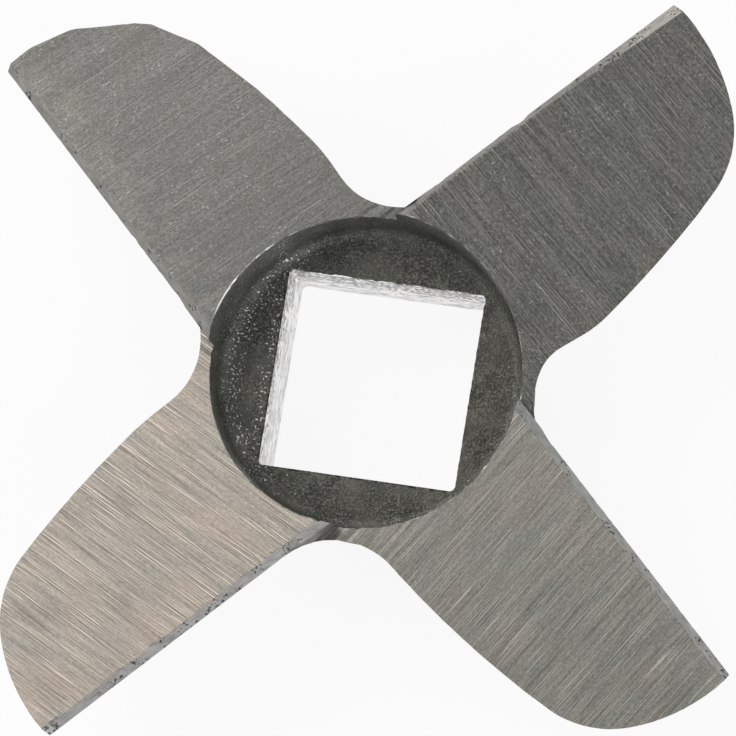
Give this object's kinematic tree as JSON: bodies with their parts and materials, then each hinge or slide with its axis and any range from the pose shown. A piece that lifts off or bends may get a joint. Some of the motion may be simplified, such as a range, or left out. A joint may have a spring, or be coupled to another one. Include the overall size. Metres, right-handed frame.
{
  "type": "meat grinder knife",
  "caption": "Cross-shaped cutting knife for a meat grinder: a square-bored hub with a round recess and relief-ground arms with straight leading edges.",
  "frame": {"origin": "on the axis of the square drive hole, at the back face of the hub", "axes": "+Z along the drive axis, out of the cutting side; X and Y along the sides of the square hole"},
  "size_m": [0.0806, 0.0806, 0.0172],
  "materials": {
    "knife_steel": "belt-ground arms and bevels, dark as-cast hub recess, back and sides, broached bore"
  },
  "bodies": {
    "root": {"knife": "knife_steel"}
  },
  "joints": []
}
